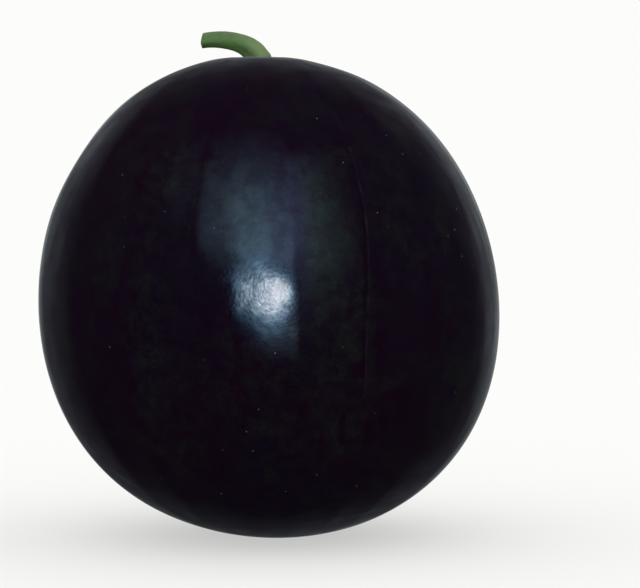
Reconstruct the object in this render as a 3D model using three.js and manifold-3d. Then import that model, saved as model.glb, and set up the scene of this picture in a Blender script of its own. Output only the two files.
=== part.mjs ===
/**
 * Whole watermelon of a round, almost black kind, with the stub of stem that it was cut with.
 *
 * Units are millimetres and +Z is up. The origin lies on the surface that the fruit stands on, under its
 * middle. -Y is the front, and the stem bends towards -X.
 *
 * The fruit grew as one piece, so it is one mesh. The stem is the other: it stands in the shallow hollow at
 * the top of the fruit and keeps a hair's gap to the skin.
 */
import * as THREE from "three";
import { mergeVertices } from "three/addons/utils/BufferGeometryUtils.js";
import Module from "manifold-3d";

const wasm = await Module();
wasm.setup();

const DEGREE = Math.PI / 180;

// The fruit's body: the distance from its middle to its skin, and how that swells and shrinks with direction.
const MEAN_RADIUS = 124;
const TALLER = 2.65; // added to the half height, and taken from the half width
const STEM_HALF_FULLER = 1.4; // makes the stem end fuller than the blossom end
const SHOULDERS = 1; // makes the shoulders squarer than an ellipse
const LOPSIDED = 1.9; // swells the upper left and the lower right, as on a fruit that grew at a slant
const AXIS_LEAN = 1.8 * DEGREE; // the stem end leans towards -X

// The ribs: from each to the next the skin runs a little flatter than a circle.
const RIBS = 18;
const RIB_START = -14.9 * DEGREE; // from the front, positive towards +X
const RIB_STRAY = 3 * DEGREE; // how far the ribs stray from even places
const RIB_STRAY_WAVES = 5;
const RIB_STRAY_PHASE = -50 * DEGREE;
const PANEL_DIP = 0.6; // between two ribs, under the circle
const RIB_ROUNDING = 0.12; // share of a panel over which a rib is rounded off

// The hollow that the stem stands in, and the smaller one that the flower left at the bottom.
const STEM_HOLLOW_DEPTH = 4.5;
const STEM_HOLLOW_SPREAD = 5 * DEGREE;
const BLOSSOM_HOLLOW_DEPTH = 3.6;
const BLOSSOM_HOLLOW_SPREAD = 2.6 * DEGREE;
const FLAT_SPOT_RISE = 1.2; // how much of the round bottom the flat spot takes away

// A broad flat that the fruit grew with on its upper left.
const FLAT_CHEEK_DEPTH = 1.5;
const FLAT_CHEEK_POLAR = 53 * DEGREE;
const FLAT_CHEEK_SPREAD = 11 * DEGREE;

// The stem. Its line bends by these four points, from the end of the fruit's middle line. It starts under
// the skin, which cuts it off, and its cut end lies a little farther back than its foot.
const STEM_BENDS = [
  [0, 0, -6],
  [-0.8, 0, 6.4],
  [-18.5, 1.5, 9.9],
  [-29.8, 5.3, 8],
];
const STEM_RADIUS = 3.9;
const STEM_FLARE = 2.1; // added to the radius where the stem leaves the hollow
const STEM_FLARE_LENGTH = 12;
const STEM_FLARE_POWER = 1.6;
const STEM_COLLAR = 0.8; // a low swelling just over the skin
const STEM_COLLAR_HEIGHT = -2.6; // from the end of the fruit's middle line, so it is in the hollow
const STEM_COLLAR_SPREAD = 1.6;
const STEM_RIBS = 5;
const STEM_RIB_HEIGHT = 0.05; // share of the radius
const STEM_TWIST = 35 * DEGREE; // of the ribs, from the base to the cut end
const STEM_END_BULGE = 0.6; // of the cut end, which dried a little domed
const STEM_END_SLANT = 15 * DEGREE; // the cut end faces a little upwards
const TOUCHING_GAP = 0.3;

// Fineness of the faceted solids.
const SEGMENTS_PER_PANEL = 4;
const FRUIT_RINGS = 54;
const POLE_CROWDING = 0.6; // draws the rings together at both poles, where the hollows are
const STEM_SIDES = 30;
const STEM_STEPS = 26;

// From the fruit's middle to the ends of its middle line, where every term of the body adds up.
const TO_STEM_END = MEAN_RADIUS + TALLER + STEM_HALF_FULLER - SHOULDERS;
const TO_BLOSSOM_END = MEAN_RADIUS + TALLER - STEM_HALF_FULLER - SHOULDERS;
const MIDDLE_HEIGHT = TO_BLOSSOM_END - FLAT_SPOT_RISE;

/** A smooth hump of height 1 at 0 that has died away at about twice its spread. */
const hump = (distance, spread) => Math.exp(-((distance / spread) ** 2));

/** Where a place counted in ribs lies round the fruit: whole numbers are the ribs themselves. */
function ribAzimuth(panel) {
  const even = (panel / RIBS) * 2 * Math.PI;
  return RIB_START + even + RIB_STRAY * Math.sin(RIB_STRAY_WAVES * even + RIB_STRAY_PHASE);
}

/** How far the skin lies under the circle through the ribs. */
function panelDip(panel) {
  const rounded = (height) => Math.hypot(height, RIB_ROUNDING) - RIB_ROUNDING;
  return (PANEL_DIP * rounded(Math.sin(Math.PI * panel))) / rounded(1);
}

/** The distance from the fruit's middle to its smooth skin in a direction given as a unit vector. */
function bodyRadius({ x, z }) {
  return (
    MEAN_RADIUS +
    TALLER * (2 * z ** 2 - 1) +
    STEM_HALF_FULLER * (4 * z ** 3 - 3 * z) -
    SHOULDERS * (8 * z ** 4 - 8 * z ** 2 + 1) -
    LOPSIDED * 2 * x * z
  );
}

/** A point of the skin: polar is the angle from the stem end, and panel the place round it, in ribs. */
function skinPoint(polar, panel) {
  const azimuth = ribAzimuth(panel % RIBS);
  const direction = new THREE.Vector3(
    Math.sin(polar) * Math.sin(azimuth),
    -Math.sin(polar) * Math.cos(azimuth),
    Math.cos(polar),
  ).applyAxisAngle(new THREE.Vector3(0, 1, 0), -AXIS_LEAN);
  const cheek = new THREE.Vector3(-Math.sin(FLAT_CHEEK_POLAR), 0, Math.cos(FLAT_CHEEK_POLAR));
  const radius =
    bodyRadius(direction) -
    panelDip(panel) * Math.sin(polar) ** 2 -
    STEM_HOLLOW_DEPTH * hump(polar, STEM_HOLLOW_SPREAD) -
    BLOSSOM_HOLLOW_DEPTH * hump(Math.PI - polar, BLOSSOM_HOLLOW_SPREAD) -
    FLAT_CHEEK_DEPTH * hump(direction.angleTo(cheek), FLAT_CHEEK_SPREAD);
  const point = direction.multiplyScalar(radius);
  point.z = Math.max(point.z + MIDDLE_HEIGHT, 0);
  return point;
}

/** Moves every vertex of a three.js shape to where place says, and closes the shape's seams. */
function reshaped(geometry, place) {
  const position = geometry.getAttribute("position");
  const uv = geometry.getAttribute("uv");
  for (let i = 0; i < position.count; i++) {
    const from = new THREE.Vector3().fromBufferAttribute(position, i);
    position.setXYZ(i, ...place(from, uv.getX(i), uv.getY(i)));
  }
  geometry.deleteAttribute("normal");
  geometry.deleteAttribute("uv");
  return mergeVertices(geometry);
}

function fruitGeometry() {
  return reshaped(new THREE.SphereGeometry(1, RIBS * SEGMENTS_PER_PANEL, FRUIT_RINGS), (from, u, v) => {
    const share = 1 - v;
    const polar = Math.PI * share - (POLE_CROWDING / 2) * Math.sin(2 * Math.PI * share);
    return skinPoint(polar, u * RIBS);
  });
}

/** The line through the middle of the stem: it rises out of the hollow and bends over to -X. */
function stemLine() {
  const foot = new THREE.Vector3(-Math.sin(AXIS_LEAN), 0, Math.cos(AXIS_LEAN)).multiplyScalar(TO_STEM_END);
  foot.z += MIDDLE_HEIGHT;
  return new THREE.CubicBezierCurve3(...STEM_BENDS.map((bend) => new THREE.Vector3(...bend).add(foot)));
}

/** The stem's radius at a distance along it from the end of the fruit's middle line. */
function stemRadius(distance, round, along) {
  const flare = STEM_FLARE * Math.exp(-((Math.max(distance, 0) / STEM_FLARE_LENGTH) ** STEM_FLARE_POWER));
  const collar = STEM_COLLAR * hump(distance - STEM_COLLAR_HEIGHT, STEM_COLLAR_SPREAD);
  const ribs = 1 + STEM_RIB_HEIGHT * Math.cos(STEM_RIBS * (round + STEM_TWIST * along));
  return (STEM_RADIUS + flare + collar) * ribs;
}

function stemGeometry() {
  const line = stemLine();
  const length = line.getLength();
  const frames = line.computeFrenetFrames(STEM_STEPS);
  return reshaped(new THREE.CylinderGeometry(1, 1, 1, STEM_SIDES, STEM_STEPS), (from) => {
    const along = from.y + 0.5;
    const step = Math.round(along * STEM_STEPS);
    const out = Math.hypot(from.x, from.z);
    const radius = stemRadius(along * length + STEM_BENDS[0][2], Math.atan2(from.x, from.z), along);
    const middle = line.getPointAt(along);
    const point = middle
      .clone()
      .addScaledVector(frames.binormals[step], from.x * radius)
      .addScaledVector(frames.normals[step], from.z * radius);
    if (step === STEM_STEPS) {
      const slant = (middle.z - point.z) * Math.tan(STEM_END_SLANT);
      point.addScaledVector(frames.tangents[step], STEM_END_BULGE * (1 - out) + slant);
    }
    return point;
  });
}

/** A closed three.js shape as a manifold-3d solid. */
function solid(geometry) {
  return new wasm.Manifold(
    new wasm.Mesh({
      numProp: 3,
      vertProperties: geometry.getAttribute("position").array,
      triVerts: new Uint32Array(geometry.index.array),
    }),
  );
}

/** A manifold-3d solid as a three.js shape. */
function shape(made) {
  const mesh = made.getMesh();
  return new THREE.BufferGeometry()
    .setAttribute("position", new THREE.BufferAttribute(mesh.vertProperties, 3))
    .setIndex(new THREE.BufferAttribute(mesh.triVerts, 1));
}

function namedMesh(name, geometry, material) {
  const mesh = new THREE.Mesh(geometry, new THREE.MeshStandardMaterial(material));
  mesh.name = name;
  return mesh;
}

/** The round fruit in its almost black skin, with the stem's hollow, the flower's hollow and the flat spot. */
function fruit() {
  return namedMesh("fruit", fruitGeometry(), { color: 0x14181a, roughness: 0.3, metalness: 0 });
}

/** The stub of green stem, ribbed and flared, whose underside follows the skin that it grows from. */
function stem() {
  const raisedSkin = solid(fruitGeometry().translate(0, 0, TOUCHING_GAP));
  const cut = solid(stemGeometry()).subtract(raisedSkin);
  return namedMesh("stem", shape(cut), { color: 0x6f8a4e, roughness: 0.6, metalness: 0 });
}

const watermelon = new THREE.Group();
watermelon.add(fruit(), stem());

export default watermelon;
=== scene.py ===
"""A whole watermelon of a round, almost black kind, standing on a pale floor in soft studio light.

Everything is in metres, +Z is up, and the fruit stands on z = 0 with its middle over the origin. The
front is -Y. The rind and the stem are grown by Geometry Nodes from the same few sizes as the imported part.
"""
from math import cos, pi, radians, sin, tan

import bpy
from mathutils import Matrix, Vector


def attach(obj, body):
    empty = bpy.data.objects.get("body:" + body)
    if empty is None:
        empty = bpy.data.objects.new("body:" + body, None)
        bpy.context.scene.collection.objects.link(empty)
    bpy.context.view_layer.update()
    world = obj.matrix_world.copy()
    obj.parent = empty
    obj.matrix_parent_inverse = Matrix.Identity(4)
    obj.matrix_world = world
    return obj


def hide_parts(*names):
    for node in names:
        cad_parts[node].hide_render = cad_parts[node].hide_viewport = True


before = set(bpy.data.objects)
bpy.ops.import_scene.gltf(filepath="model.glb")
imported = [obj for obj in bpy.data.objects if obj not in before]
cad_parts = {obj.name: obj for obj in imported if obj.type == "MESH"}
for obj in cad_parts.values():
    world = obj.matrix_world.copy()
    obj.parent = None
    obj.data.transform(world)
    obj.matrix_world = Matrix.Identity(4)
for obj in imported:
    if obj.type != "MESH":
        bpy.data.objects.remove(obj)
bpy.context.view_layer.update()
SCENE = bpy.context.scene

# ---------------------------------------------------------------------------------------------------
# The fruit's skin. A ripe melon's rind, grown as one closed shell: nearly round, with eighteen soft ribs,
# a hollow at the stem end, the flower's scar at the other, and the small flat spot that it stands on.
# It is waxy and nearly black, with dark green clouds, a few hairline furrows and sparse pale pores.
# ---------------------------------------------------------------------------------------------------

RIND = {
    # The body: the distance from its middle to its skin, and how that swells and shrinks.
    "Mean radius": 0.124,
    "Taller": 0.00265,
    "Stem half fuller": 0.0014,
    "Shoulders": 0.001,
    "Lopsided": 0.0019,
    "Axis lean": radians(1.8),
    "Flat spot rise": 0.0012,
    # Two broad flats that it grew with. Their tilt is from straight up, positive towards +X.
    "Cheek depth": 0.0015,
    "Cheek tilt": radians(-53),
    "Cheek spread": radians(11),
    "Crown depth": 0.0008,
    "Crown tilt": radians(12),
    "Crown spread": radians(8),
    # The ribs and the nearly flat panels between them.
    "Ribs": 18,
    "Rib start": radians(-14.9),
    "Rib stray": radians(3),
    "Rib stray waves": 5,
    "Rib stray phase": radians(-50),
    "Rib width": 0.008,
    "Rib rounding": 0.12,
    "Panel dip": 0.0006,
    # The hollows at both ends, and the creases that run into the one round the stem.
    "Stem hollow depth": 0.0045,
    "Stem hollow spread": radians(5),
    "Blossom hollow depth": 0.0036,
    "Blossom hollow spread": radians(2.6),
    "Creases": 11,
    "Crease depth": 0.00035,
    "Crease polar": radians(5.5),
    "Crease spread": radians(2.6),
    "Crease wander": 3.0,
    "Crease wander size": 0.3,
    # Hairline furrows beside some of the ribs: how strong each is, and where its middle and ends lie.
    "Furrow depth": 0.00007,
    "Furrow near width": 0.0014,
    "Furrow far width": 0.0006,
    "Furrow first rib": 2.0,
    "Furrow beat": 2.6,
    "Furrow middle": radians(77),
    "Furrow middle stray": radians(42),
    "Furrow middle beat": 2.06,
    "Furrow middle phase": 3.73,
    "Furrow fades from": radians(28),
    "Furrow ends at": radians(46),
    "Furrow gap size": 0.14,
    "Furrow faintest": 0.2,
    # How far a furrow keeps from its rib, and how it bends and wanders on its way.
    "Furrow offset": -0.0030,
    "Furrow lean": 0.0047,
    "Furrow arch": 0.0042,
    "Furrow arch height": 0.25,
    "Furrow arch spread": 0.45,
    "Furrow arch lift": 0.9,
    "Furrow bow": -0.0058,
    "Furrow bow spread": radians(24),
    "Furrow wander": 0.0014,
    "Furrow wander size": 0.35,
    "Furrow kink": 0.0012,
    "Furrow kink size": 0.09,
    # The unevenness of a thing that grew, nearly all of it inwards from the sizes above.
    "Dent depth": 0.0003,
    "Dent size": 0.05,
    "Ripple depth": 0.0001,
    "Ripple size": 0.012,
    "Streak depth": 0.00009,
    "Streak width": 0.009,
    "Streak length": 0.12,
    "Unevenness outwards": 0.15,
    "Seed": 3.0,
    # Fineness: columns for each panel between two ribs, and rows from end to end.
    "Columns to a panel": 32,
    "Rows": 170,
    "Rib crowding": 0.6,
    "End crowding": 0.6,
}


class Wire:
    """A node's output. Arithmetic on it adds Math nodes to the same tree."""

    def __init__(self, drawing, socket):
        self.drawing, self.socket = drawing, socket

    def out(self, name):
        """Another output of the same node."""
        return Wire(self.drawing, self.socket.node.outputs[name])

    def __add__(self, other):
        return maths("ADD", self, other)

    def __radd__(self, other):
        return maths("ADD", other, self)

    def __sub__(self, other):
        return maths("SUBTRACT", self, other)

    def __rsub__(self, other):
        return maths("SUBTRACT", other, self)

    def __mul__(self, other):
        return maths("MULTIPLY", self, other)

    def __rmul__(self, other):
        return maths("MULTIPLY", other, self)

    def __truediv__(self, other):
        return maths("DIVIDE", self, other)

    def __rtruediv__(self, other):
        return maths("DIVIDE", other, self)

    def __pow__(self, other):
        return maths("POWER", self, other)

    def __neg__(self):
        return maths("MULTIPLY", self, -1)


class Drawing:
    """A node tree that is being drawn."""

    def __init__(self, tree):
        self.tree = tree
        tree.nodes.clear()

    def node(self, kind, settings=None, inputs=None):
        """Adds a node: its settings are set first, then its sockets get their values or wires."""
        made = self.tree.nodes.new(kind)
        for name, value in (settings or {}).items():
            setattr(made, name, value)
        for name, value in (inputs or {}).items():
            if isinstance(value, Wire):
                self.tree.links.new(value.socket, made.inputs[name])
            else:
                made.inputs[name].default_value = value
        return Wire(self, made.outputs[0]) if made.outputs else None


def maths(operation, *terms):
    """A Math node on numbers and wires, of which at least one is a wire."""
    drawing = next(term.drawing for term in terms if isinstance(term, Wire))
    return drawing.node("ShaderNodeMath", {"operation": operation}, dict(enumerate(terms)))


def smooth_step(value, low, high):
    """0 up to low and 1 from high on, or the other way round where high is the smaller."""
    return value.drawing.node("ShaderNodeMapRange", {"interpolation_type": "SMOOTHSTEP"}, {
        "Value": value, "From Min": low, "From Max": high})


def hump(distance, spread):
    """A smooth hump of height 1 at 0 that has died away at about twice its spread."""
    return maths("EXPONENT", -((distance / spread) ** 2))


def vector(x, y, z):
    """Three numbers or wires, of which at least one is a wire, as one vector."""
    drawing = next(part.drawing for part in (x, y, z) if isinstance(part, Wire))
    return drawing.node("ShaderNodeCombineXYZ", inputs={"X": x, "Y": y, "Z": z})


def vector_maths(operation, *terms):
    """A Vector Math node, whose first term is a wire."""
    made = terms[0].drawing.node("ShaderNodeVectorMath", {"operation": operation}, dict(enumerate(terms)))
    return made.out("Value") if operation in ("DOT_PRODUCT", "LENGTH") else made


def scaled(term, scale):
    """A vector or a colour times a number."""
    return term.drawing.node("ShaderNodeVectorMath", {"operation": "SCALE"}, {0: term, "Scale": scale})


def noise(at, size, seed=0.0, detail=2.0, roughness=0.5, distortion=0.0):
    """Cloudy noise from 0 to 1, whose clouds are about as wide as size. Size scales the seed as well."""
    return at.drawing.node("ShaderNodeTexNoise", {"noise_dimensions": "4D"}, {
        "Vector": at, "W": seed, "Scale": 1 / size, "Detail": detail, "Roughness": roughness,
        "Distortion": distortion})


def patches(at, size, low, high, **character):
    """Soft-edged patches of noise: 0 where it is under low, and 1 where it is over high."""
    return smooth_step(noise(at, size, **character), low, high)


def store(mesh, name, value, kind="FLOAT", domain="POINT"):
    """Keeps a value with the mesh's points or corners, for its material to read."""
    return mesh.drawing.node("GeometryNodeStoreNamedAttribute", {"data_type": kind, "domain": domain}, {
        "Geometry": mesh, "Name": name, "Value": value})


def grow(name, draw_shape, sizes, finish):
    """Draws a Geometry Nodes tree with the sizes as named inputs, and keeps its result as a plain mesh."""
    tree = bpy.data.node_groups.new(name, "GeometryNodeTree")
    drawing = Drawing(tree)
    tree.interface.new_socket("Geometry", in_out="OUTPUT", socket_type="NodeSocketGeometry")
    sockets = {}
    for size, value in sizes.items():
        kind = "NodeSocketInt" if isinstance(value, int) else "NodeSocketFloat"
        sockets[size] = tree.interface.new_socket(size, in_out="INPUT", socket_type=kind)
    given = drawing.node("NodeGroupInput")
    shape = draw_shape(drawing, {size: given.out(size) for size in sizes})
    shape = drawing.node("GeometryNodeSetShadeSmooth", inputs={"Geometry": shape})
    shape = drawing.node("GeometryNodeRealizeInstances", inputs={"Geometry": shape})
    shape = drawing.node("GeometryNodeSetMaterial", inputs={"Geometry": shape, "Material": finish})
    drawing.node("NodeGroupOutput", inputs={"Geometry": shape})
    seedling = bpy.data.objects.new(name + "_seedling", bpy.data.meshes.new(name + "_seedling"))
    SCENE.collection.objects.link(seedling)
    modifier = seedling.modifiers.new(name, "NODES")
    modifier.node_group = tree
    for size, value in sizes.items():
        modifier[sockets[size].identifier] = value
    depsgraph = bpy.context.evaluated_depsgraph_get()
    mesh = bpy.data.meshes.new_from_object(seedling.evaluated_get(depsgraph), depsgraph=depsgraph)
    mesh.name = name
    bpy.data.objects.remove(seedling)
    piece = bpy.data.objects.new(name, mesh)
    SCENE.collection.objects.link(piece)
    return piece


def flat_grid(drawing, columns, rows):
    """A square grid, with how far each point lies across it and up it, from 0 to 1."""
    grid = drawing.node("GeometryNodeMeshGrid", inputs={
        "Size X": 1, "Size Y": 1, "Vertices X": columns + 1, "Vertices Y": rows + 1})
    flat = drawing.node("ShaderNodeSeparateXYZ", inputs={0: drawing.node("GeometryNodeInputPosition")})
    mesh = store(grid, "OFBake", grid.out("UV Map"), "FLOAT2", "CORNER")
    return mesh, flat.out("X") + 0.5, flat.out("Y") + 0.5


def wrapped(mesh, place):
    """Moves the grid's points to their places and joins the edges that meet there."""
    moved = mesh.drawing.node("GeometryNodeSetPosition", inputs={"Geometry": mesh, "Position": place})
    return mesh.drawing.node("GeometryNodeMergeByDistance", inputs={"Geometry": moved, "Distance": 1e-6})


def place_round_fruit(size, across, up):
    """The panel, which counts ribs round the fruit, the azimuth, and the polar angle from the stem end."""
    even_panel = across * size["Ribs"]
    panel = even_panel - size["Rib crowding"] * maths("SINE", even_panel * 2 * pi) / (2 * pi)
    turn = panel * 2 * pi / size["Ribs"]
    stray = size["Rib stray"] * maths("SINE", size["Rib stray waves"] * turn + size["Rib stray phase"])
    share = 1 - up
    polar = share * pi - size["End crowding"] / 2 * maths("SINE", share * 2 * pi)
    return panel, size["Rib start"] + turn + stray, polar


def leaning_direction(size, azimuth, polar):
    """The direction from the fruit's middle, which leans with its axis."""
    off_axis, on_axis = maths("SINE", polar), maths("COSINE", polar)
    side = off_axis * maths("SINE", azimuth)
    lean_sine, lean_cosine = maths("SINE", size["Axis lean"]), maths("COSINE", size["Axis lean"])
    x = side * lean_cosine - on_axis * lean_sine
    y = -off_axis * maths("COSINE", azimuth)
    z = side * lean_sine + on_axis * lean_cosine
    return x, y, z


def body_radius(size, x, z):
    """The distance from the middle to the smooth body that the ribs and hollows are cut from."""
    z_squared = z * z
    return (
        size["Mean radius"]
        + size["Taller"] * (2 * z_squared - 1)
        + size["Stem half fuller"] * (4 * z_squared - 3) * z
        - size["Shoulders"] * (8 * z_squared * z_squared - 8 * z_squared + 1)
        - size["Lopsided"] * 2 * x * z
    )


def middle_height(size):
    """How high the fruit's middle stands, so that the floor takes the flat spot's share off the bottom."""
    to_blossom_end = size["Mean radius"] + size["Taller"] - size["Stem half fuller"] - size["Shoulders"]
    return to_blossom_end - size["Flat spot rise"]


def panel_dip(size, panel, off_axis):
    """How far a panel lies under the circle through its two ribs, which are rounded off as a hyperbola."""
    rounding = size["Rib rounding"]
    height = maths("SQRT", maths("SINE", panel * pi) ** 2 + rounding * rounding) - rounding
    full_height = maths("SQRT", 1 + rounding * rounding) - rounding
    return size["Panel dip"] * height / full_height * off_axis * off_axis


def flat_depth(size, flat, outwards):
    """How much the cheek or the crown takes off."""
    tilt = size[flat + " tilt"]
    way = vector(maths("SINE", tilt), 0, maths("COSINE", tilt))
    away = maths("ARCCOSINE", vector_maths("DOT_PRODUCT", outwards, way))
    return size[flat + " depth"] * hump(away, size[flat + " spread"])


def hollow_depth(size, outwards, azimuth, polar):
    """The hollows at both ends, with the creases round the stem."""
    stem_hollow = size["Stem hollow depth"] * hump(polar, size["Stem hollow spread"])
    blossom_hollow = size["Blossom hollow depth"] * hump(pi - polar, size["Blossom hollow spread"])
    wander = size["Crease wander"] * noise(outwards, size["Crease wander size"], size["Seed"])
    crease = 0.5 + 0.5 * maths("COSINE", size["Creases"] * azimuth + wander)
    near_hollow = hump(polar - size["Crease polar"], size["Crease spread"])
    return stem_hollow + blossom_hollow + size["Crease depth"] * crease * near_hollow


def furrow_share(size, outwards, rib, polar):
    """How strong the furrow beside a rib is, by the rib's number. It fades at both ends and breaks up."""
    rib_number = maths("FLOORED_MODULO", rib, size["Ribs"])
    beat = maths("COSINE", (rib_number - size["Furrow first rib"]) * size["Furrow beat"])
    stray = maths("COSINE", size["Furrow middle beat"] * rib_number + size["Furrow middle phase"])
    from_middle = maths("ABSOLUTE", polar - (size["Furrow middle"] + size["Furrow middle stray"] * stray))
    unfaded = smooth_step(from_middle, size["Furrow ends at"], size["Furrow fades from"])
    whole = patches(outwards, size["Furrow gap size"], 0.24, 0.48, seed=size["Seed"] + 9)
    broken = size["Furrow faintest"] + (1 - size["Furrow faintest"]) * whole
    return maths("MAXIMUM", beat, 0) ** 2 * unfaded * broken


def furrow_path(size, outwards, polar):
    """How far to the side of its rib a furrow runs."""
    on_axis = maths("COSINE", polar)
    arch = hump(on_axis - size["Furrow arch height"], size["Furrow arch spread"]) - size["Furrow arch lift"]
    wander = noise(outwards, size["Furrow wander size"], size["Seed"] + 5) - 0.5
    kink = noise(outwards, size["Furrow kink size"], size["Seed"] + 6, 1) - 0.5
    return (
        size["Furrow offset"]
        + size["Furrow lean"] * on_axis
        + size["Furrow arch"] * arch
        + size["Furrow bow"] * hump(polar - pi / 2, size["Furrow bow spread"])
        + size["Furrow wander"] * wander
        + size["Furrow kink"] * kink
    )


def unevenness(size, outwards, azimuth, polar):
    """Dents, ripples, and streaks that run from end to end."""
    radius, seed = size["Mean radius"], size["Seed"]
    dents = size["Dent depth"] * noise(scaled(outwards, radius / size["Dent size"]), 1, seed, 1)
    ripples = size["Ripple depth"] * noise(scaled(outwards, radius / size["Ripple size"]), 1, seed, 2)
    drawn_out = vector(maths("COSINE", azimuth) / size["Streak width"],
                       maths("SINE", azimuth) / size["Streak width"], polar / size["Streak length"])
    streaks = size["Streak depth"] * noise(scaled(drawn_out, radius), 1, seed, 2)
    deepest = size["Dent depth"] + size["Ripple depth"] + size["Streak depth"]
    return dents + ripples + streaks - size["Unevenness outwards"] * deepest


def draw_rind(drawing, size):
    mesh, across, up = flat_grid(drawing, size["Ribs"] * size["Columns to a panel"], size["Rows"])
    panel, azimuth, polar = place_round_fruit(size, across, up)
    x, y, z = leaning_direction(size, azimuth, polar)
    outwards, off_axis = vector(x, y, z), maths("SINE", polar)
    nearest_rib = maths("ROUND", panel)
    from_rib = (panel - nearest_rib) * (2 * pi / size["Ribs"]) * size["Mean radius"] * off_axis
    from_furrow = from_rib - furrow_path(size, outwards, polar)
    near_side, far_width = maths("LESS_THAN", from_furrow, 0), size["Furrow far width"]
    furrow_width = near_side * size["Furrow near width"] + (1 - near_side) * far_width
    share = furrow_share(size, outwards, nearest_rib, polar) * off_axis
    furrow = share * off_axis * hump(from_furrow, furrow_width)
    radius = (
        body_radius(size, x, z)
        - panel_dip(size, panel, off_axis)
        - flat_depth(size, "Cheek", outwards)
        - flat_depth(size, "Crown", outwards)
        - hollow_depth(size, outwards, azimuth, polar)
        - size["Furrow depth"] * furrow
        - unevenness(size, outwards, azimuth, polar) * off_axis
    )
    mesh = store(mesh, "polar", polar)
    mesh = store(mesh, "furrow", furrow)
    # Where the painted reflection, a pale line, lies beside a furrow.
    mesh = store(mesh, "painted_reflection_beside_furrow", share * hump(from_furrow - 2 * far_width, far_width))
    mesh = store(mesh, "rib", hump(from_rib, size["Rib width"]) * off_axis)
    mesh = store(mesh, "stripe", 0.5 + 0.5 * maths("COSINE", (panel - 1.5) * pi))
    above_floor = maths("MAXIMUM", z * radius + middle_height(size), 0)
    return wrapped(mesh, vector(x * radius, y * radius, above_floor))


def mix_colours(factor, first, second):
    """The first colour where the factor is 0, and the second where it is 1."""
    mixed = factor.drawing.node("ShaderNodeMix", {"data_type": "RGBA"}, {0: factor, 6: first, 7: second})
    return mixed.out(2)


def attribute(drawing, name, output="Fac"):
    """A value that was stored with the mesh."""
    return drawing.node("ShaderNodeAttribute", {"attribute_name": name}).out(output)


def bumped(height):
    """The surface raised by a height in metres."""
    return height.drawing.node("ShaderNodeBump", inputs={"Strength": 1, "Distance": 1, "Height": height})


def colour(red, green, blue):
    return (red, green, blue, 1)


def material(name, look):
    """A new material, whose whole tree is drawn by look."""
    made = bpy.data.materials.new(name)
    made.use_nodes = True
    drawing = Drawing(made.node_tree)
    drawing.node("ShaderNodeOutputMaterial", inputs={"Surface": look(drawing)})
    return made


BLACK_SKIN = colour(0.0043, 0.0010, 0.0048)
BLUE_SKIN = colour(0.0035, 0.0018, 0.0057)
GREEN_CLOUD = colour(0.0051, 0.0054, 0.0058)
VEIN = colour(0.0036, 0.0009, 0.0044)
# The painted shade in a furrow: a dark line.
FURROW_PAINTED_SHADE = colour(0.0034, 0.0009, 0.0046)
# The painted reflection beside a furrow: a pale line.
FURROW_PAINTED_REFLECTION = colour(0.0105, 0.0075, 0.0150)
PORE = colour(0.20, 0.20, 0.19)
CORK = colour(0.16, 0.115, 0.06)
STEM_HAZE = colour(0.075, 0.092, 0.072)
UNDERSIDE = colour(0.030, 0.034, 0.012)
BLUE_PATCH_SIZE = 0.055
CLOUD_SIZE = 0.033
VEIN_SIZE = 0.0088
MOTTLE_SIZE = 0.0077
PORE_SPACING = 0.009
PORE_RADIUS = 0.00042
PEEL_SIZE = 0.0014
PEEL_DEPTH = 0.00004
GRAIN_SIZE = 0.0009
GRAIN_DEPTH = 0.000018
VEIN_WIDTH = 0.035  # as a share of the noise that they follow
VEIN_STRENGTH = 0.35
PORE_STRENGTH = 0.55
# How strong the painted shade in the furrows is, and the painted reflection beside them.
FURROW_PAINTED_SHADE_STRENGTH = 0.8
FURROW_PAINTED_REFLECTION_STRENGTH = 0.7
HAZE_STRENGTH = 0.22
STEM_CORK_STRENGTH = 0.45
# The spots at the ends: the angles from that end where each begins and where it is full.
UNDERSIDE_EDGE = (radians(46), radians(22))
BLOSSOM_SCAR_EDGE = (radians(2.6), radians(1.4))
STEM_CORK_EDGE = (radians(4.9), radians(3.4))
STEM_HAZE_EDGE = (radians(11), radians(5.5))
SKIN_ROUGHNESS = 0.08
WAX = {"IOR": 1.3, "Coat Roughness": 0.04, "Coat IOR": 1.6}


def clouded_skin(drawing, at, mottles, veins, rib):
    """Black and bluish skin with green clouds in it, which are weaker on the ribs, and thin dark veins."""
    clouds = patches(at, CLOUD_SIZE, 0.42, 0.62, seed=1, detail=3, roughness=0.6, distortion=0.6)
    bluer = patches(at, BLUE_PATCH_SIZE, 0.42, 0.62, seed=15, detail=3, roughness=0.6)
    striped = 0.7 + 0.3 * attribute(drawing, "stripe")
    greener = mottles * (0.3 + 0.7 * clouds) * striped * (1 - 0.5 * rib)
    skin = mix_colours(greener, mix_colours(bluer, BLACK_SKIN, BLUE_SKIN), GREEN_CLOUD)
    return mix_colours(veins * VEIN_STRENGTH, skin, VEIN)


def pored(skin, at):
    """Adds the pores: few, tiny and pale."""
    cells = at.drawing.node("ShaderNodeTexVoronoi", inputs={"Vector": at, "Scale": 1 / PORE_SPACING})
    share_of_cell = PORE_RADIUS / PORE_SPACING
    pores = smooth_step(cells.out("Distance"), share_of_cell, 0.4 * share_of_cell)
    return mix_colours(pores * PORE_STRENGTH, skin, PORE)


def ragged_spot(from_end, edge, raggedness, at, size, **character):
    """A spot round one end of the fruit, whose edge is ragged."""
    return smooth_step(from_end + raggedness * noise(at, size, **character), *edge)


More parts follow.
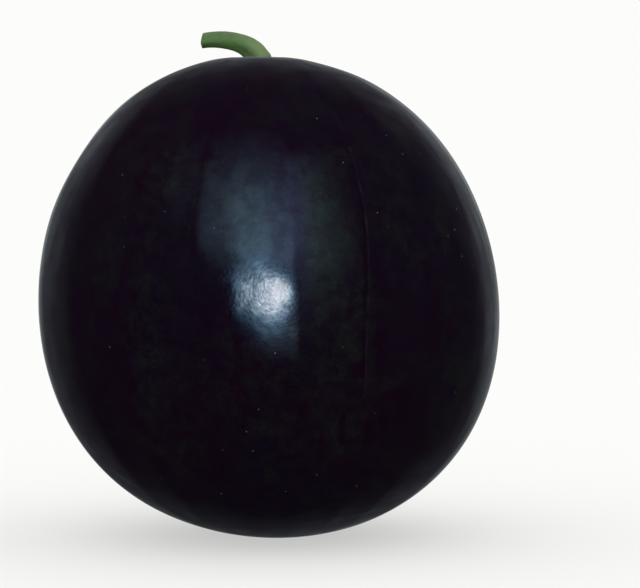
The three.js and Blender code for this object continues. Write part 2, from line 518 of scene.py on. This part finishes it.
def look_of_rind(drawing):
    at = drawing.node("ShaderNodeTexCoord").out("Object")
    polar, furrow, painted_reflection_beside_furrow, rib = (
        attribute(drawing, name) for name in ("polar", "furrow", "painted_reflection_beside_furrow", "rib"))
    mottles = patches(at, MOTTLE_SIZE, 0.38, 0.62, seed=2, detail=6, roughness=0.72, distortion=0.2)
    from_vein = noise(at, VEIN_SIZE, seed=12, detail=3, roughness=0.6, distortion=0.4) - 0.5
    veins = smooth_step(maths("ABSOLUTE", from_vein), VEIN_WIDTH, 0)
    skin = clouded_skin(drawing, at, mottles, veins, rib)
    # The furrows: a dark line of painted shade in them, and in places a pale line of painted reflection
    # beside them.
    patchy = patches(at, 0.006, 0.4, 0.62, seed=18)
    skin = mix_colours(painted_reflection_beside_furrow * FURROW_PAINTED_REFLECTION_STRENGTH * patchy, skin, FURROW_PAINTED_REFLECTION)
    skin = mix_colours(FURROW_PAINTED_SHADE_STRENGTH * smooth_step(furrow, 0.04, 0.6), skin, FURROW_PAINTED_SHADE)
    fine_speckles = noise(at, 0.0015, seed=21, detail=3, roughness=0.7)
    speckles = 1.6 * fine_speckles + 0.5 * noise(at, 0.0045, seed=22) - 0.05
    skin = pored(scaled(skin, speckles), at)
    # The underside is more olive. There is cork where the flower sat, and cork and pale haze round the stem.
    from_blossom = pi - polar
    under = ragged_spot(from_blossom, UNDERSIDE_EDGE, 0.75, at, 0.03, seed=3, detail=5, roughness=0.6)
    cork = ragged_spot(from_blossom, BLOSSOM_SCAR_EDGE, 0.02, at, 0.002, seed=4, detail=3)
    stem_cork = ragged_spot(polar, STEM_CORK_EDGE, 0.03, at, 0.0025, seed=6, detail=3)
    haze = ragged_spot(polar, STEM_HAZE_EDGE, 0.09, at, 0.006, seed=16, detail=4, roughness=0.65)
    skin = mix_colours(under * (0.25 + 0.35 * mottles), skin, UNDERSIDE)
    skin = mix_colours(haze * HAZE_STRENGTH, skin, STEM_HAZE)
    skin = mix_colours(maths("MAXIMUM", cork, stem_cork * STEM_CORK_STRENGTH), skin, CORK)
    # The peel's fine waves, and a finer grain. The wax is thinner on veins, ribs, furrows and cork.
    peel = PEEL_DEPTH * noise(at, PEEL_SIZE, seed=7, detail=0)
    peel = peel + GRAIN_DEPTH * noise(at, GRAIN_SIZE, seed=8, detail=0)
    wax = (0.56 + 0.44 * mottles) * (1 - 0.1 * veins) * (1 - cork) * (1 - 0.6 * furrow) * (1 - 0.15 * rib)
    return drawing.node("ShaderNodeBsdfPrincipled", inputs={
        "Base Color": skin, "Roughness": SKIN_ROUGHNESS + 0.04 * mottles + 0.35 * cork + 0.2 * haze,
        "Normal": bumped(peel), "Coat Weight": wax, **WAX})


rind = grow("rind", draw_rind, RIND, material("black_rind", look_of_rind))
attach(rind, "root")
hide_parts("fruit")

# ---------------------------------------------------------------------------------------------------
# The stem: the stub of green vine that the fruit was cut with. It stands in the hollow, flares into the
# skin there, bends over to the left and a little back, and ends in a dry cut. Five soft ribs run along it.
# ---------------------------------------------------------------------------------------------------

STEM = {
    # The line through its middle, from the end of the fruit's own middle line.
    "Root x": -0.0006,
    "Root depth": 0.006,
    "Bend 1 x": -0.0015,
    "Bend 1 z": 0.0064,
    "Bend 2 x": -0.0185,
    "Bend 2 y": 0.0015,
    "Bend 2 z": 0.0093,
    "End x": -0.0298,
    "End y": 0.0053,
    "End z": 0.0077,
    # Its thickness: a flare and a collar at the foot, and a slight swelling nearer the end.
    "Radius": 0.0039,
    "Flare": 0.0021,
    "Flare length": 0.012,
    "Flare power": 1.6,
    "Swelling": 0.0003,
    "Swelling at": 0.7,
    "Swelling spread": 0.2,
    "Collar": 0.0008,
    "Collar height": -0.0026,
    "Collar spread": 0.0016,
    # Ribs, the streaks of its fibres, and lumps, as shares of the radius.
    "Ribs": 5,
    "Rib height": 0.045,
    "Twist": radians(35),
    "Streak height": 0.035,
    "Streak width": 0.22,
    "Fibre length": 1 / 14,
    "Lump height": 0.06,
    "Lump size": 0.007,
    # The cut, which is domed, rough, and faces a little upwards.
    "End bulge": 0.0006,
    "End grain": 0.00016,
    "End grain size": 0.2,
    "End slant": tan(radians(15)),
    "Seed": 4.0,
    # Fineness: columns round it, rows from the root to the middle of the cut, and the tube's share of those.
    "Columns": 120,
    "Rows": 190,
    "Rows on the tube": 0.9,
    "Steps in the line": 240,
}
LEAN = RIND["Axis lean"]
MIDDLE_HEIGHT = middle_height(RIND)
TO_STEM_END = RIND["Mean radius"] + RIND["Taller"] + RIND["Stem half fuller"] - RIND["Shoulders"]
STEM_FOOT = Vector((-TO_STEM_END * sin(LEAN), 0, MIDDLE_HEIGHT + TO_STEM_END * cos(LEAN)))


def stem_line(drawing, size):
    """The line through the middle of the stem: it rises out of the hollow and bends over to -X."""
    x, y, z = STEM_FOOT
    return drawing.node("GeometryNodeCurvePrimitiveBezierSegment", {"mode": "POSITION"}, {
        "Resolution": size["Steps in the line"],
        "Start": vector(x + size["Root x"], y, z - size["Root depth"]),
        "Start Handle": vector(x + size["Bend 1 x"], y, z + size["Bend 1 z"]),
        "End Handle": vector(x + size["Bend 2 x"], y + size["Bend 2 y"], z + size["Bend 2 z"]),
        "End": vector(x + size["End x"], y + size["End y"], z + size["End z"]),
    })


def stem_thickness(size, along, distance):
    """The radius of the smooth stem. Distance is from the end of the fruit's middle line."""
    up_the_flare = maths("MAXIMUM", distance, 0) / size["Flare length"]
    flare = size["Flare"] * maths("EXPONENT", -(up_the_flare ** size["Flare power"]))
    collar = size["Collar"] * hump(distance - size["Collar height"], size["Collar spread"])
    swelling = size["Swelling"] * hump(along - size["Swelling at"], size["Swelling spread"])
    return size["Radius"] + swelling + flare + collar


def draw_stem(drawing, size):
    mesh, across, up = flat_grid(drawing, size["Columns"], size["Rows"])
    turn, on_tube = across * 2 * pi, size["Rows on the tube"]
    turn_cosine, turn_sine = maths("COSINE", turn), maths("SINE", turn)
    along = maths("MINIMUM", up / on_tube, 1)
    inwards = maths("MAXIMUM", (up - on_tube) / (1 - on_tube), 0)
    line = stem_line(drawing, size)
    length = drawing.node("GeometryNodeCurveLength", inputs={"Curve": line})
    found = drawing.node("GeometryNodeSampleCurve", {"mode": "FACTOR"}, {"Curves": line, "Factor": along})
    middle, ahead = found.out("Position"), found.out("Tangent")
    # The stem bends in a plane that is nearly square to the Y axis.
    upwards = vector_maths("NORMALIZE", vector_maths("CROSS_PRODUCT", ahead, (0, -1, 0)))
    sideways = vector_maths("CROSS_PRODUCT", ahead, upwards)
    distance = along * length - size["Root depth"]
    twisted = turn + size["Twist"] * along
    fibres = vector(maths("COSINE", twisted), maths("SINE", twisted), distance / size["Fibre length"])
    rib = maths("COSINE", size["Ribs"] * twisted)
    streaks = size["Streak height"] * (noise(fibres, size["Streak width"], size["Seed"], 2) - 0.5)
    lumps = size["Lump height"] * (noise(scaled(middle, 1 / size["Lump size"]), 1, size["Seed"], 1) - 0.6)
    radius = stem_thickness(size, along, distance) * (1 + size["Rib height"] * rib + streaks + lumps)
    # The cut is the tube's end drawn in to its middle.
    out = 1 - inwards
    ring = radius * out
    spread = vector_maths("ADD", scaled(upwards, turn_cosine * ring), scaled(sideways, turn_sine * ring))
    slant = -size["End slant"] * turn_cosine * ring * smooth_step(along, 0.96, 1)
    on_cut = scaled(vector(turn_cosine * out, turn_sine * out, 0), 1 / size["End grain size"])
    grain = size["End grain"] * noise(on_cut, 1, size["Seed"], 3) * smooth_step(inwards, 0, 0.1)
    dome = size["End bulge"] * (1 - out * out) + grain
    pushed = scaled(ahead, slant + dome)
    mesh = store(mesh, "along", along)
    mesh = store(mesh, "cut", inwards)
    mesh = store(mesh, "rib", 0.5 + 0.5 * rib)
    mesh = store(mesh, "fibres", fibres, "FLOAT_VECTOR")
    mesh = store(mesh, "upper_side", turn_cosine)
    return wrapped(mesh, vector_maths("ADD", vector_maths("ADD", middle, spread), pushed))


STEM_GREEN = colour(0.065, 0.140, 0.034)
STEM_PALE = colour(0.122, 0.170, 0.074)
STEM_DEEP = colour(0.034, 0.092, 0.021)
STEM_YELLOW = colour(0.130, 0.205, 0.066)
# A painted sheen, for the stem's upper side.
STEM_PAINTED_SHEEN = colour(0.092, 0.122, 0.060)
STEM_TAN = colour(0.22, 0.19, 0.11)
CUT_PALE = colour(0.33, 0.33, 0.17)
CUT_RIM = colour(0.10, 0.09, 0.05)
FIBRE_WIDTH = 0.1
FIBRE_DEPTH = 0.00035
STEM_GRAIN_SIZE = 0.0008
STEM_GRAIN_DEPTH = 0.00012
STEM_FINISH = {"IOR": 1.45, "Coat Roughness": 0.3}


def stem_colours(drawing, at, streaks):
    """Green with pale streaks, a painted sheen on top, yellower at the foot, with deeper and tan patches;
    underneath, painted shade at the foot and painted light towards the cut.
    """
    along, rib, upper_side = (attribute(drawing, name) for name in ("along", "rib", "upper_side"))
    # Painted sheen: the stem's own pale streaks and patches show mostly on its upper side.
    painted_sheen_on_top = 0.2 + 0.8 * smooth_step(upper_side, 0.1, 0.8)
    green = mix_colours(smooth_step(streaks, 0.35, 0.7) * 0.3 * painted_sheen_on_top, STEM_GREEN, STEM_PALE)
    green = mix_colours((1 - rib) * 0.15, green, STEM_DEEP)
    pale = patches(at, 0.005, 0.45, 0.7, seed=2, detail=3, roughness=0.6)
    green = mix_colours(pale * 0.6 * painted_sheen_on_top, green, STEM_PALE)
    deep = patches(at, 0.004, 0.5, 0.7, seed=9, detail=3, roughness=0.6)
    green = mix_colours(deep * 0.5, green, STEM_DEEP)
    # A painted sheen along the top.
    green = mix_colours(smooth_step(upper_side, 0.45, 1) * 0.6, green, STEM_PAINTED_SHEEN)
    green = mix_colours(smooth_step(along, 0.55, 0.16) * 0.6, green, STEM_YELLOW)
    # On the lower side, painted shade near the foot and painted light farther out towards the cut.
    below = hump(upper_side + 0.45, 0.3) * (0.8 * smooth_step(along, 0.3, 0.6) - 0.3)
    scuffs = patches(at, 0.0035, 0.62, 0.72, seed=5, detail=3, roughness=0.6)
    return mix_colours(scuffs * 0.35, scaled(green, 1 + below), STEM_TAN)


def look_of_stem(drawing):
    at = drawing.node("ShaderNodeTexCoord").out("Object")
    cut, fibres = attribute(drawing, "cut"), attribute(drawing, "fibres", "Vector")
    streaks = noise(fibres, 0.16, seed=1, detail=3, roughness=0.6)
    # The cut end has a dark rim and a pale middle.
    face = smooth_step(cut, 0.02, 0.12)
    ring = smooth_step(cut + 0.25 * noise(at, 0.0012, seed=3), 0.35, 0.2)
    surface = mix_colours(face, stem_colours(drawing, at, streaks), mix_colours(ring, CUT_PALE, CUT_RIM))
    height = FIBRE_DEPTH * noise(fibres, FIBRE_WIDTH, seed=6, detail=3, roughness=0.6)
    height = height + STEM_GRAIN_DEPTH * noise(at, STEM_GRAIN_SIZE, seed=7)
    return drawing.node("ShaderNodeBsdfPrincipled", inputs={
        "Base Color": surface, "Roughness": 0.45 + 0.15 * streaks + 0.2 * face, "Normal": bumped(height),
        "Coat Weight": 0.1 * (1 - face), **STEM_FINISH})


stub = grow("stem_stub", draw_stem, STEM, material("green_stem", look_of_stem))
stub.visible_glossy = False
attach(stub, "root")
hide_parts("stem")

# ---------------------------------------------------------------------------------------------------
# The floor: a plain pale sheet that fades into the white all round. It glows a little itself, so that the
# fruit's shadow on it stays soft and weak. Gloss doesn't mirror it.
# ---------------------------------------------------------------------------------------------------

WHITE = colour(0.973, 0.982, 0.965)
FLOOR_REACH = 1.2
FLOOR_DROP = 0.0004  # under the flat spot, so that the two don't share a plane
FLOOR_FADES_FROM = 0.35
FLOOR_GLOW = 0.55
BRIGHTER_ABOVE = 1.5  # how much more light comes from straight above than from the horizon


def sheet(name, corners, finish):
    """One flat quad, which belongs to the studio and not to the fruit."""
    mesh = bpy.data.meshes.new(name)
    mesh.from_pydata(corners, [], [(0, 1, 2, 3)])
    mesh.materials.append(finish)
    made = bpy.data.objects.new(name, mesh)
    SCENE.collection.objects.link(made)
    return made


def look_of_floor(drawing):
    at = drawing.node("ShaderNodeTexCoord").out("Object")
    faded = smooth_step(vector_maths("LENGTH", at), FLOOR_FADES_FROM, FLOOR_REACH * 0.8)
    # The room throws this much light on a level sheet, against 1 for an even white room.
    light_on_paper = 1 + BRIGHTER_ABOVE * 2 / 3
    paper_white = (1 - FLOOR_GLOW) / light_on_paper
    paper = drawing.node("ShaderNodeBsdfDiffuse", inputs={
        "Color": colour(paper_white, paper_white, paper_white)})
    lit = drawing.node("ShaderNodeEmission", inputs={"Color": WHITE, "Strength": FLOOR_GLOW})
    near = drawing.node("ShaderNodeAddShader", inputs={0: paper, 1: lit})
    distant = drawing.node("ShaderNodeEmission", inputs={"Color": WHITE, "Strength": 1})
    return drawing.node("ShaderNodeMixShader", inputs={0: faded, 1: near, 2: distant})


floor = sheet("floor", [
    (-FLOOR_REACH, -FLOOR_REACH, -FLOOR_DROP),
    (FLOOR_REACH, -FLOOR_REACH, -FLOOR_DROP),
    (FLOOR_REACH, FLOOR_REACH, -FLOOR_DROP),
    (-FLOOR_REACH, FLOOR_REACH, -FLOOR_DROP),
], material("pale_floor", look_of_floor))
floor.visible_glossy = False

# ---------------------------------------------------------------------------------------------------
# The lamp that makes the bright highlight: a small dish lamp with a wide halo on its left, on a pane of
# clear glass before the fruit. Only gloss sees it. It stands near, or the crown would mirror it backwards.
# ---------------------------------------------------------------------------------------------------

LAMP_AWAY = 0.40
PANE_LEFT, PANE_RIGHT, PANE_FOOT, PANE_TOP = -0.16, 0.12, 0.02, 0.40
# Places on the pane are angles in degrees, to the right and upwards, as seen from a point in the fruit.
SEEN_FROM_FORWARD = 0.065
SEEN_FROM_LEVEL = 0.1265
CORE_GLOW = 14.5
CORE_MIDDLE = (2.5, 8.2)
CORE_SPREAD = (4.8, 8.8, 4.0)  # beside, below and above its middle
CORE_BEND = 0.31  # how far it bends to the left for each degree above or below its middle
HALO_GLOW = 4.7
HALO_MIDDLE = (-6.6, 6.0)
HALO_SPREAD = (7.3, 6.2, 9.5)
BRIGHTEST = 13
FAINTEST = 0.001
DISH_MIDDLE = (2.1, 8.3)
DISH_RINGS = 2.3
DISH_ARC_SHORTNESS = 4


def lit_spot(beside, over, spread):
    """A soft bright spot that reaches farther below its middle than above it, or the other way round."""
    beside_spread, below, above = spread
    return hump(beside, beside_spread) * hump(over, below + (above - below) * smooth_step(over, -3, 3))


def arcs_of_lamp(azimuth, elevation):
    """The fine bright and dark arcs that the lamp's ribbed dish draws round its middle, 1 on average."""
    beside, over = azimuth - DISH_MIDDLE[0], elevation - DISH_MIDDLE[1]
    away = maths("SQRT", beside * beside + over * over + 0.1)
    dish = vector(DISH_RINGS * away, DISH_ARC_SHORTNESS * beside / away, DISH_ARC_SHORTNESS * over / away)
    threads = 0.5 + patches(dish, 0.5, 0.36, 0.64, seed=9, detail=0)
    return threads * (0.25 + 1.5 * patches(dish, 1, 0.4, 0.6, seed=5, detail=1))


def look_of_lamp(drawing):
    at = drawing.node("ShaderNodeSeparateXYZ", inputs={0: drawing.node("ShaderNodeTexCoord").out("Object")})
    reach = LAMP_AWAY - SEEN_FROM_FORWARD
    azimuth = maths("ARCTANGENT", at.out("X") / reach) * (180 / pi)
    elevation = maths("ARCTANGENT", (at.out("Z") - SEEN_FROM_LEVEL) / reach) * (180 / pi)
    halo = lit_spot(azimuth - HALO_MIDDLE[0], elevation - HALO_MIDDLE[1], HALO_SPREAD)
    over_core = elevation - CORE_MIDDLE[1]
    beside_core = azimuth - CORE_MIDDLE[0] + CORE_BEND * maths("ABSOLUTE", over_core)
    core = lit_spot(beside_core, over_core, CORE_SPREAD)
    # The glow is cut off softly at the lamp's left and right edge.
    edge = smooth_step(azimuth + 3 * smooth_step(elevation, 9, 15), -17.5, -12.5)
    edge = edge * smooth_step(azimuth, 13.5, 9)
    arcs = arcs_of_lamp(azimuth, elevation)
    light = edge * (HALO_GLOW * halo * arcs + CORE_GLOW * core * (0.4 + 0.6 * arcs))
    light = maths("MINIMUM", light, BRIGHTEST) + FAINTEST
    # Faint light is bluer, and strong light warmer.
    tinted = vector(light * (light / 15) ** 0.25, light, light * (light / 21) ** -0.16)
    glow = drawing.node("ShaderNodeEmission", inputs={"Color": tinted, "Strength": 1})
    glass = drawing.node("ShaderNodeBsdfTransparent")
    return drawing.node("ShaderNodeAddShader", inputs={0: glow, 1: glass})


lamp = sheet("lamp", [
    (PANE_LEFT, -LAMP_AWAY, PANE_FOOT),
    (PANE_RIGHT, -LAMP_AWAY, PANE_FOOT),
    (PANE_RIGHT, -LAMP_AWAY, PANE_TOP),
    (PANE_LEFT, -LAMP_AWAY, PANE_TOP),
], material("lamp_glass", look_of_lamp))
lamp.data.materials[0].cycles.emission_sampling = "NONE"
lamp.visible_camera = False
lamp.visible_diffuse = False
lamp.visible_shadow = False
lamp.visible_transmission = False

# ---------------------------------------------------------------------------------------------------
# The room. To the eye and to matt surfaces it is white all round, and brighter above. Gloss mirrors a dark
# room instead, with a few soft panes of cool light in front and a pale uneven glow behind.
# ---------------------------------------------------------------------------------------------------

LEFT_PANE_GLOW = 0.47
FAR_LEFT_GLOW = 0.07
STRIP_GLOW = 0.9
RIGHT_PANE_GLOW = 0.46
# The panes' soft edges in degrees: where each starts and is full, and where it starts to fade and is gone.
LEFT_PANE_ACROSS = (-43, -24), (6, 19)
LEFT_PANE_UP = (12, 27), (40, 87)
FAR_LEFT_ACROSS = (-62, -52), (-44, -36)
FAR_LEFT_UP = (26, 46), (56, 84)
STRIP_ACROSS = (-21.5, -11.5), (6, 14)
STRIP_UP = (-21, 2), (18, 64)
RIGHT_PANE_ACROSS = (5, 16), (22, 47)
RIGHT_PANE_TOP = (48, 73)
# The glow behind, and where it is dimmer round the fruit: by how much, at what angle, and how widely.
DARK_ROOM_GLOW = 0.010
WIDE_GLOW = 0.125
STRAIGHT_BEHIND_GLOW = 0.125
DIMMER_PLACES = (-0.35, 145, 12), (0.52, 116, 20), (0.32, 72, 22), (0.25, 0, 9)
COOL = colour(0.42, 0.73, 0.99)
COOL_VIOLET = colour(0.39, 0.59, 0.99)
STRIP_TEAL = colour(0.58, 1, 1.34)
STRIP_VIOLET = colour(0.52, 0.82, 1.34)
RIGHT_BLUE = colour(0.62, 0.92, 1.60)
RIGHT_GREEN = colour(0.53, 1, 0.98)
BEHIND_COOL = colour(0.87, 0.97, 1.09)
EDGE_WHITE = colour(0.95, 1.01, 1)
EDGE_GREEN = colour(0.95, 1.03, 0.93)


def fade(value, start, end):
    """1 up to start and 0 from end on."""
    return smooth_step(value, end, start)


def between(value, rise, fall):
    """1 between two soft edges, each given by where it starts and where it ends."""
    return smooth_step(value, *rise) * fade(value, *fall)


def cut_corner(azimuth, slope, start):
    """How far a pane's upper or lower edge draws in, left of the place where its corner is cut off."""
    return slope * maths("MAXIMUM", start - azimuth, 0)


def strip_of_light(azimuth, elevation):
    """The narrow tall pane round the lamp, which is ribbed like it at the lamp's height and below."""
    left_edge, right_edge = STRIP_ACROSS
    drawn_in = 3.5 * fade(elevation, 20, 30) + 8 * fade(elevation, -8, 10)
    strip = smooth_step(azimuth - drawn_in, *left_edge) * fade(azimuth, *right_edge)
    strip = strip * (0.86 + 0.14 * fade(azimuth, -2, 6)) * between(elevation, *STRIP_UP)
    ribbed = fade(elevation, 10, 16) * (0.35 + 0.65 * smooth_step(elevation, -15, -3))
    return strip * (1 + (arcs_of_lamp(azimuth, elevation) - 1) * ribbed)


def glow_in_front(across, back, up):
    """The soft panes before the fruit. Their places are twice the angles of the skin that mirrors them."""
    half = maths("SQRT", maths("MAXIMUM", 2 - 2 * back, 0.0001))
    azimuth = maths("ARCTAN2", across, 1 - back) * (360 / pi)
    elevation = maths("ARCSINE", up / half) * (360 / pi)
    foot, top = LEFT_PANE_UP
    left_pane = between(azimuth, *LEFT_PANE_ACROSS)
    left_pane = left_pane * smooth_step(elevation - cut_corner(azimuth, 0.6, -19), *foot)
    left_pane = left_pane * fade(elevation + cut_corner(azimuth, 0.7, -14), *top)
    far_left = between(azimuth, *FAR_LEFT_ACROSS) * between(elevation, *FAR_LEFT_UP)
    right_pane = between(azimuth, *RIGHT_PANE_ACROSS) * (1 - 0.25 * hump(elevation - 51, 9))
    right_pane = right_pane * (0.3 * smooth_step(elevation, -15, 15) + 0.75 * smooth_step(elevation, 8, 27))
    right_pane = right_pane * fade(elevation, *RIGHT_PANE_TOP)
    violet = smooth_step(azimuth, -9, 5)
    left_tint = mix_colours(violet, COOL, COOL_VIOLET)
    strip_tint = mix_colours(violet * smooth_step(elevation, 12, 22), STRIP_TEAL, STRIP_VIOLET)
    greener = fade(elevation, 55, 72) * smooth_step(azimuth, 20, 31)
    right_tint = mix_colours(greener, RIGHT_BLUE, RIGHT_GREEN)
    left_glow = scaled(left_tint, LEFT_PANE_GLOW * left_pane + FAR_LEFT_GLOW * far_left)
    right_glow = scaled(right_tint, RIGHT_PANE_GLOW * right_pane)
    strip_glow = scaled(strip_tint, STRIP_GLOW * strip_of_light(azimuth, elevation))
    return vector_maths("ADD", vector_maths("ADD", left_glow, right_glow), strip_glow)


def glow_behind(across, back, up):
    """The pale glow behind the fruit, uneven round the middle line, and brightest straight behind."""
    wide = smooth_step(back + 0.04 * across, 0.40, 0.92)
    straight_behind = smooth_step(back, 0.90, 1.0)
    lower = 0.32 + 0.68 * smooth_step(up, -0.42, 0.08)
    upper = 0.5 + 0.5 * fade(up, 0.3, 0.75)
    around = maths("ARCTAN2", up, across) * (180 / pi)
    bottom = 1 - 0.35 * fade(maths("ABSOLUTE", around + 105), 10, 35)
    dimming = 1
    for amount, place, spread in DIMMER_PLACES:
        dimming = dimming - amount * hump(around - place, spread)
    round_room = vector(maths("ARCTAN2", across, back) * 4, up * 1.5, 0)
    uneven = 0.62 + 0.76 * patches(round_room, 0.3, 0.3, 0.7, seed=3)
    glow = WIDE_GLOW * wide * uneven + (STRAIGHT_BEHIND_GLOW + 0.04 * across) * straight_behind
    glow = DARK_ROOM_GLOW + glow * lower * upper * bottom * dimming
    edge_tint = mix_colours(fade(across, -0.15, 0.15), EDGE_WHITE, EDGE_GREEN)
    return scaled(mix_colours(straight_behind, BEHIND_COOL, edge_tint), glow)


def look_of_room(drawing):
    ray = drawing.node("ShaderNodeLightPath")
    looking = drawing.node("ShaderNodeTexCoord").out("Generated")
    way = drawing.node("ShaderNodeSeparateXYZ", inputs={0: looking})
    across, back, up = way.out("X"), way.out("Y"), way.out("Z")
    mirrored = vector_maths("ADD", glow_in_front(across, back, up), glow_behind(across, back, up))
    mirrored = drawing.node("ShaderNodeBackground", inputs={"Color": mirrored, "Strength": 1})
    above = 1 + BRIGHTER_ABOVE * ray.out("Is Diffuse Ray") * maths("MAXIMUM", up, 0)
    white = drawing.node("ShaderNodeBackground", inputs={"Color": WHITE, "Strength": above})
    matt = maths("MAXIMUM", ray.out("Is Camera Ray"), ray.out("Is Diffuse Ray"))
    return drawing.node("ShaderNodeMixShader", inputs={0: matt, 1: mirrored, 2: white})


world = bpy.data.worlds.new("room")
world.use_nodes = True
world.cycles.sampling_method = "NONE"
SCENE.world = world
room = Drawing(world.node_tree)
room.node("ShaderNodeOutputWorld", inputs={"Surface": look_of_room(room)})

# ---------------------------------------------------------------------------------------------------
# The camera: a long lens a little above the fruit's middle, turned so that the fruit is left of centre.
# Colours come out as they are, with no film look.
# ---------------------------------------------------------------------------------------------------

CAMERA_DISTANCE, CAMERA_ELEVATION = 1.4, radians(3)
IMAGE_WIDE, IMAGE_TALL = 640, 588
PIXELS_PER_METRE = 1914
FRUIT_MIDDLE_AT = (268.6, 298.65)  # in the image, in pixels from its top left corner

camera_data = bpy.data.cameras.new("camera")
camera_data.lens = camera_data.sensor_width * CAMERA_DISTANCE * PIXELS_PER_METRE / IMAGE_WIDE
camera = bpy.data.objects.new("camera", camera_data)
SCENE.collection.objects.link(camera)
SCENE.camera = camera
fruit_middle = Vector((0, 0, MIDDLE_HEIGHT))
to_camera = Vector((0, -cos(CAMERA_ELEVATION), sin(CAMERA_ELEVATION)))
camera.location = fruit_middle + CAMERA_DISTANCE * to_camera
right = Vector((1, 0, 0))
upright = Vector((0, sin(CAMERA_ELEVATION), cos(CAMERA_ELEVATION)))
aim = (fruit_middle + right * (IMAGE_WIDE / 2 - FRUIT_MIDDLE_AT[0]) / PIXELS_PER_METRE
       + upright * (FRUIT_MIDDLE_AT[1] - IMAGE_TALL / 2) / PIXELS_PER_METRE)
camera.rotation_euler = (aim - camera.location).to_track_quat("-Z", "Y").to_euler()
SCENE.view_settings.view_transform = "Standard"
